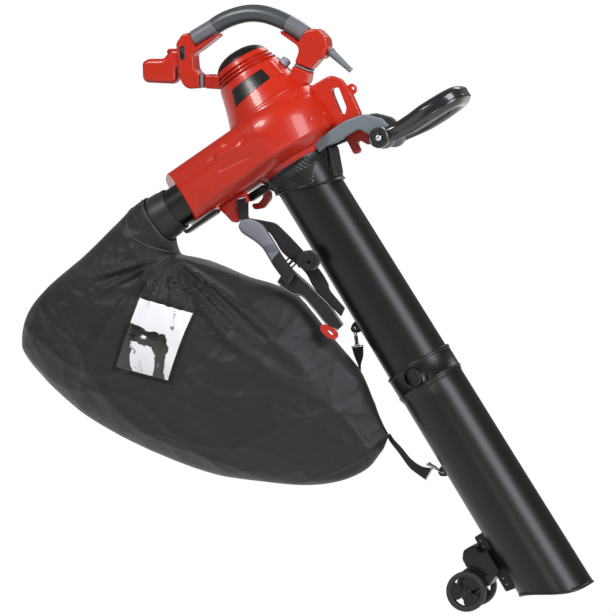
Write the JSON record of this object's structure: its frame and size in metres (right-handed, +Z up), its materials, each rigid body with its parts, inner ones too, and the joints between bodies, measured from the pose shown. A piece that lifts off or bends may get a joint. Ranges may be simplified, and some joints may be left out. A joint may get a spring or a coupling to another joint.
{
  "type": "leaf blower vacuum",
  "caption": "Handheld leaf blower vacuum: arched grip over a fan scroll, folding front handle, jointed suction tube on wheels, collection bag and shoulder strap.",
  "frame": {"origin": "middle of the main grip's bar, in the machine's plane of symmetry", "axes": "+X towards the front, away from the bag; +Y away from the side with the switch and the clamp knob; +Z up as the machine is carried, with its suction tube pointing down and forwards"},
  "size_m": [1.0449, 0.211, 1.0446],
  "materials": {
    "red_shell": "gloss",
    "soft_grip": "satin",
    "black_rubber": "matte",
    "black_shell": "satin",
    "black_gloss": "gloss",
    "tube_black": "satin",
    "grey_knob": "satin",
    "grey_bracket": "satin",
    "bag_cloth": "matte",
    "webbing": "matte",
    "pad_cloth": "matte",
    "bare_steel": "satin",
    "hook_steel": "satin",
    "copper_winding": "satin",
    "brush_brass": "satin"
  },
  "bodies": {
    "machine_body": {"scroll_near_half": "red_shell", "scroll_far_half": "red_shell", "motor_cover": "red_shell", "rear_post": "red_shell", "front_post": "red_shell", "handle_tail": "red_shell", "front_bracket": "red_shell", "front_hook": "red_shell", "rear_hook": "red_shell", "strap_lug": "red_shell", "strap_snap_hook": "red_shell", "main_grip": "soft_grip", "rear_damper": "black_rubber", "front_damper": "black_rubber", "cable_sleeve": "black_rubber", "switch_bezel": "black_shell", "vent_cap": "black_shell", "outlet_spout": "black_shell", "motor_field": "bare_steel", "lower_bearing": "bare_steel", "upper_bearing": "bare_steel", "motor_plate": "bare_steel", "motor_bridge": "black_shell", "near_brush": "brush_brass", "far_brush": "brush_brass", "tube_collar": "black_shell", "handle_bracket": "grey_bracket", "pivot_bolt": "bare_steel", "upper_tube": "tube_black", "lower_tube": "tube_black", "upper_strap_eye": "tube_black", "lower_strap_eye": "tube_black", "wheel_rail": "tube_black", "collection_bag": "bag_cloth", "bag_neck_band": "bag_cloth", "tail_webbing": "webbing", "side_webbing": "webbing", "tail_snap_hook": "hook_steel", "side_snap_hook": "hook_steel", "strap_pad": "pad_cloth", "strap_back": "webbing", "strap_webbing": "webbing", "webbing_roll": "webbing", "strap_loop": "webbing", "strap_slider": "black_shell"},
    "rotor": {"impeller": "black_shell", "motor_armature": "copper_winding"},
    "bow": {"front_handle": "black_shell"},
    "knob": {"clamp_knob": "black_gloss"},
    "rocker": {"power_rocker": "black_gloss"},
    "speed_wheel": {"speed_knob": "grey_knob"},
    "carriage": {"wheel_carriage": "black_shell", "wheel_axle": "bare_steel"},
    "wheel_near": {"near_wheel": "black_shell"},
    "wheel_far": {"far_wheel": "black_shell"},
    "tube_catch": {"coupling_latch": "black_shell"},
    "bag_catch": {"bag_latch": "black_shell"}
  },
  "joints": [
    {"name": "fan_spin", "type": "hinge", "parent": "machine_body", "child": "rotor", "pos_m": [0.07827, 0, -0.20315], "axis": [-0.5446, 0, 0.8387], "continuous": true},
    {"name": "bow_fold", "type": "hinge", "parent": "machine_body", "child": "bow", "pos_m": [0.28155, 0, -0.20587], "axis": [0, 1, 0], "range_deg": [-60, 60]},
    {"name": "clamp_turn", "type": "hinge", "parent": "machine_body", "child": "knob", "pos_m": [0.28155, 0, -0.20587], "axis": [0, -1, 0], "range_deg": [-180, 180]},
    {"name": "switch_rock", "type": "hinge", "parent": "machine_body", "child": "rocker", "pos_m": [-0.0923, -0.015, -0.06352], "axis": [-0.9998, 0, -0.0174], "range_deg": [0, 10]},
    {"name": "speed_turn", "type": "hinge", "parent": "machine_body", "child": "speed_wheel", "pos_m": [0.08917, 0, -0.08112], "axis": [0.6947, 0, 0.7193], "range_deg": [0, 270]},
    {"name": "wheel_height", "type": "slide", "parent": "machine_body", "child": "carriage", "axis": [-0.5446, 0, 0.8387], "range_m": [-0.035, 0.025]},
    {"name": "near_wheel_roll", "type": "hinge", "parent": "carriage", "child": "wheel_near", "pos_m": [0.43243, -0.034, -0.98904], "axis": [0, 1, 0], "continuous": true},
    {"name": "far_wheel_roll", "type": "hinge", "parent": "carriage", "child": "wheel_far", "pos_m": [0.43243, 0.034, -0.98904], "axis": [0, 1, 0], "continuous": true},
    {"name": "tube_catch_lift", "type": "hinge", "parent": "machine_body", "child": "tube_catch", "pos_m": [0.33915, -0.0625, -0.60487], "axis": [-0.8387, 0, -0.5446], "range_deg": [0, 15], "stiffness_Nm_per_rad": 0.05, "springref_deg": -5.73},
    {"name": "bag_catch_drop", "type": "hinge", "parent": "machine_body", "child": "bag_catch", "pos_m": [-0.01238, -0.066, -0.33713], "axis": [0, -1, 0], "range_deg": [0, 15], "stiffness_Nm_per_rad": 0.2, "springref_deg": -5.73}
  ]
}
